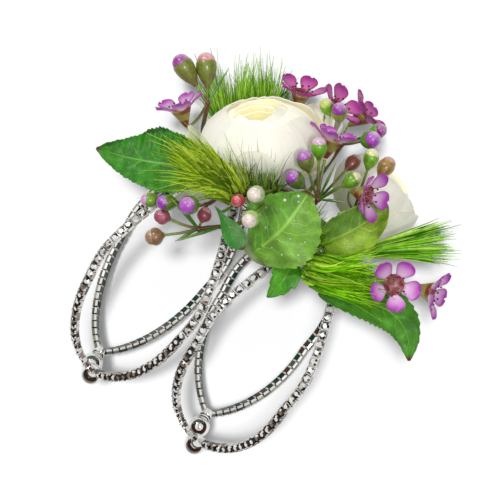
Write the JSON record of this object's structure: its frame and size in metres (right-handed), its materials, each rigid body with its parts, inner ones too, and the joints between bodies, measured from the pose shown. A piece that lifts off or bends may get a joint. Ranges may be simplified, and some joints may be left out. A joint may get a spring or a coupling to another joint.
{
  "type": "wrist corsage",
  "caption": "wrist corsage: ranunculus, wax flowers, bristle tufts and leaves on an oval plate, worn on springy open arms of crystal cup chain that end in polished balls",
  "frame": {"origin": "middle of the wrist opening", "axes": "X along the wrist and along the row of flowers, -Y towards the side that shows, +Z from the wrist out through the flowers"},
  "size_m": [0.0867, 0.0729, 0.094],
  "materials": {
    "plate_metal": "satin silver plating",
    "polished_metal": "mirror-polished silver plating",
    "crystal_chain": "silver cups set with clear faceted stones",
    "floral_adhesive": "matt green floral adhesive",
    "ivory_petal": "soft ivory petal",
    "cream_petal": "soft cream petal",
    "stem_green": "matt green stem",
    "bristle_green": "bright green bristles",
    "leaf_green": "satin green leaf with pale veins",
    "pale_leaf_green": "satin fresh green leaf with white veins",
    "wax_bud_green": "waxy green cups with violet and cream caps",
    "wax_pink": "waxy magenta petals"
  },
  "bodies": {
    "spray": {"base_plate": "plate_metal", "glue_core": "floral_adhesive", "front_ranunculus_petals_1": "ivory_petal", "front_ranunculus_petals_2": "ivory_petal", "front_ranunculus_petals_3": "ivory_petal", "front_ranunculus_petals_4": "cream_petal", "front_ranunculus_heart": "cream_petal", "front_ranunculus_calyx": "stem_green", "back_ranunculus_petals_1": "ivory_petal", "back_ranunculus_petals_2": "ivory_petal", "back_ranunculus_petals_3": "cream_petal", "back_ranunculus_heart": "cream_petal", "back_ranunculus_calyx": "stem_green", "top_bristle_tuft": "bristle_green", "left_bristle_tuft": "bristle_green", "front_bristle_tuft": "bristle_green", "right_bristle_tuft": "bristle_green", "inner_bristle_tuft": "bristle_green", "big_left_leaf": "leaf_green", "back_left_leaf": "leaf_green", "low_right_leaf": "leaf_green", "small_tip_leaf": "pale_leaf_green", "round_front_leaf": "pale_leaf_green", "rolled_front_leaf": "pale_leaf_green", "narrow_front_leaf": "leaf_green", "under_front_leaf": "pale_leaf_green", "top_left_sprig": "wax_bud_green", "low_left_sprig": "wax_bud_green", "left_bud_sprig": "wax_bud_green", "front_bud_sprig": "wax_bud_green", "centre_sprig": "wax_bud_green", "top_right_sprig": "wax_bud_green", "right_sprig": "wax_bud_green", "low_right_sprig": "wax_bud_green", "wax_flower_1": "wax_pink", "wax_flower_2": "wax_pink", "wax_flower_3": "wax_pink", "wax_flower_4": "wax_pink", "wax_flower_5": "wax_pink", "wax_flower_6": "wax_pink", "wax_flower_7": "wax_pink", "wax_flower_8": "wax_pink"},
    "front_arm": {"front_root_bar": "polished_metal", "front_left_loop": "crystal_chain", "front_right_loop": "crystal_chain", "front_left_tip_ball": "polished_metal", "front_right_tip_ball": "polished_metal"},
    "back_arm": {"back_root_bar": "polished_metal", "back_left_loop": "crystal_chain", "back_right_loop": "crystal_chain", "back_left_tip_ball": "polished_metal", "back_right_tip_ball": "polished_metal"}
  },
  "joints": [
    {"name": "front_arm_flex", "type": "hinge", "parent": "spray", "child": "front_arm", "pos_m": [0, -0.0183, 0.02456], "axis": [-1, 0, 0], "range_deg": [0, 12], "stiffness_Nm_per_rad": 0.8},
    {"name": "back_arm_flex", "type": "hinge", "parent": "spray", "child": "back_arm", "pos_m": [0, 0.0183, 0.02456], "axis": [1, 0, 0], "range_deg": [0, 12], "stiffness_Nm_per_rad": 0.8}
  ]
}
